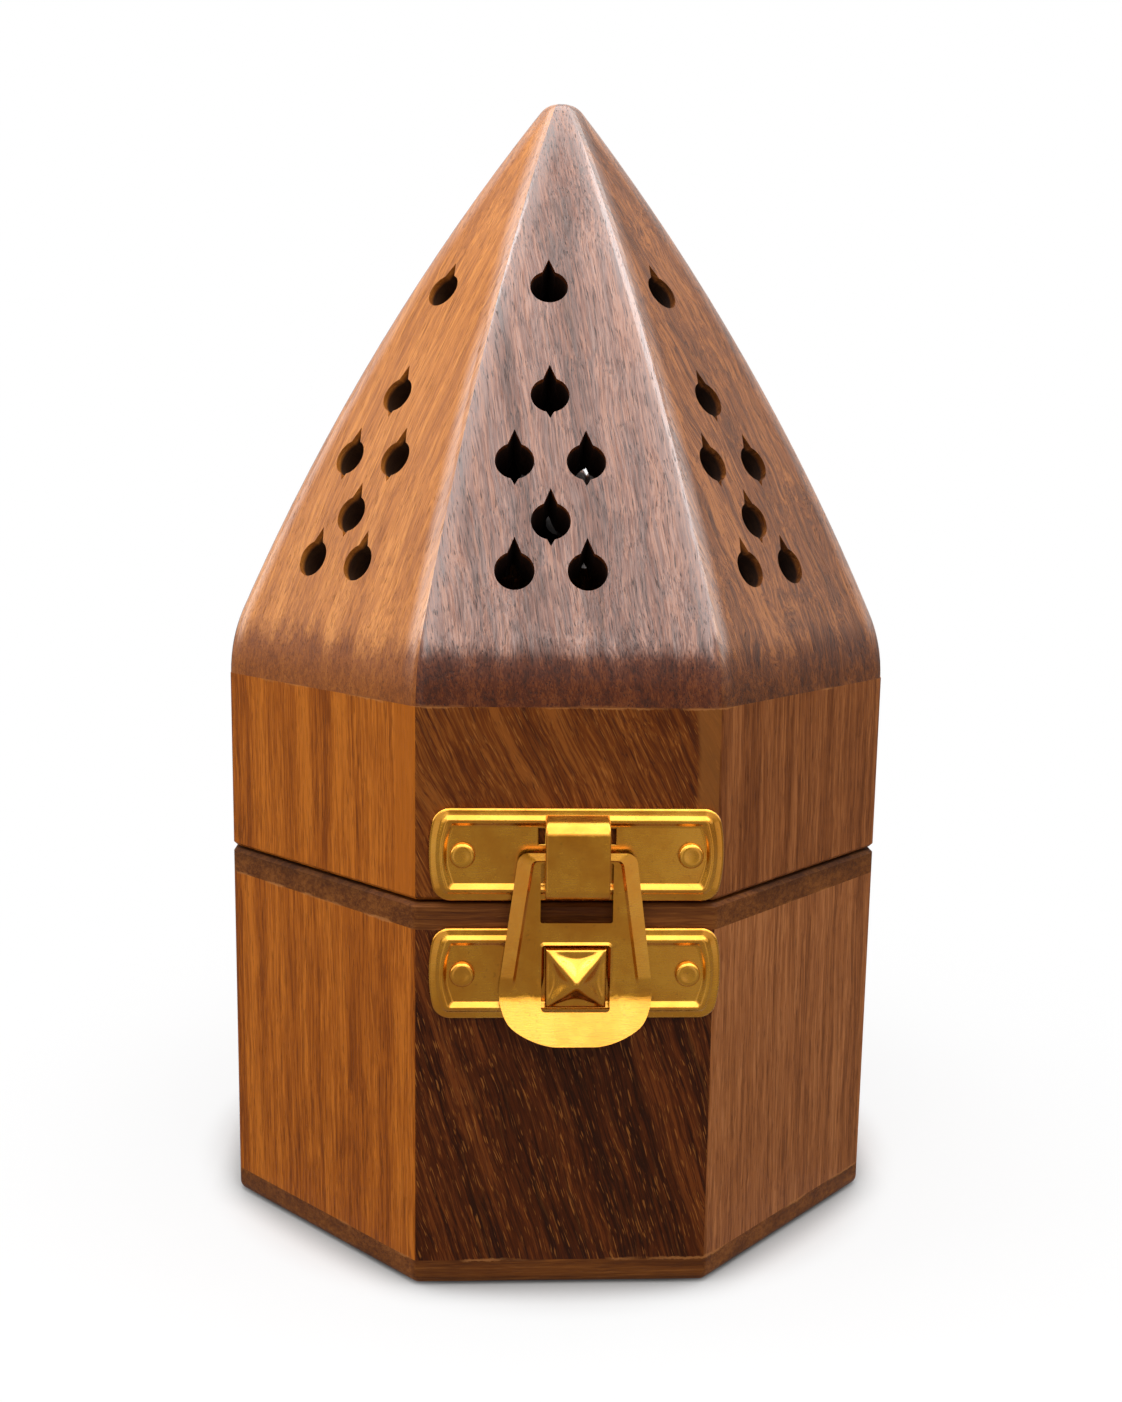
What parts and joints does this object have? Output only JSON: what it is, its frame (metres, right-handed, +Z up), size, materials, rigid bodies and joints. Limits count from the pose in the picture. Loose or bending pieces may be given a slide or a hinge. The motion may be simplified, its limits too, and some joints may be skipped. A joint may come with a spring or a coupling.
{
  "type": "incense burner",
  "caption": "Octagonal wooden incense burner box with a hinged, pierced spire lid, a brass hasp latch and a metal charcoal dish under the lid.",
  "frame": {"origin": "centre of the underside of the base board", "axes": "+Z up to the tip of the spire, the latch faces -Y, the hinge is on the +Y side"},
  "size_m": [0.0888, 0.0976, 0.1524],
  "materials": {
    "box_wood": "satin rosewood-like box walls",
    "lid_wood": "satin rosewood-like lid walls",
    "roof_wood": "polished rosewood-like roof staves",
    "board_wood": "satin base and rim boards",
    "latch_brass": "polished pressed brass",
    "hinge_brass": "polished brass hinge",
    "dish_brass": "spun brass, dulled by heat"
  },
  "bodies": {
    "box": {"base_board": "board_wood", "box_wall_front": "box_wood", "box_wall_front_right": "box_wood", "box_wall_right": "box_wood", "box_wall_rear_right": "box_wood", "box_wall_rear": "box_wood", "box_wall_rear_left": "box_wood", "box_wall_left": "box_wood", "box_wall_front_left": "box_wood", "box_rim": "board_wood", "charcoal_dish": "dish_brass", "dish_pins": "dish_brass", "latch_lower_plate": "latch_brass", "lower_plate_pins": "latch_brass", "catch_knob": "latch_brass", "hinge_box_leaf": "hinge_brass", "hinge_pin": "hinge_brass", "hinge_box_nails": "hinge_brass"},
    "lid": {"lid_wall_front": "lid_wood", "lid_wall_front_right": "lid_wood", "lid_wall_right": "lid_wood", "lid_wall_rear_right": "lid_wood", "lid_wall_rear": "lid_wood", "lid_wall_rear_left": "lid_wood", "lid_wall_left": "lid_wood", "lid_wall_front_left": "lid_wood", "roof_stave_front": "roof_wood", "roof_stave_front_right": "roof_wood", "roof_stave_right": "roof_wood", "roof_stave_rear_right": "roof_wood", "roof_stave_rear": "roof_wood", "roof_stave_rear_left": "roof_wood", "roof_stave_left": "roof_wood", "roof_stave_front_left": "roof_wood", "latch_upper_plate": "latch_brass", "upper_plate_pins": "latch_brass", "hinge_lid_leaf": "hinge_brass", "hinge_lid_nails": "hinge_brass"},
    "hasp": {"hasp": "latch_brass"}
  },
  "joints": [
    {"name": "lid_hinge", "type": "hinge", "parent": "box", "child": "lid", "pos_m": [0, 0.04635, 0.0505], "axis": [-1, 0, 0], "range_deg": [0, 120]},
    {"name": "hasp_swing", "type": "hinge", "parent": "lid", "child": "hasp", "pos_m": [0.0012, -0.0465, 0.0566], "axis": [-1, 0, 0], "range_deg": [0, 150]}
  ]
}
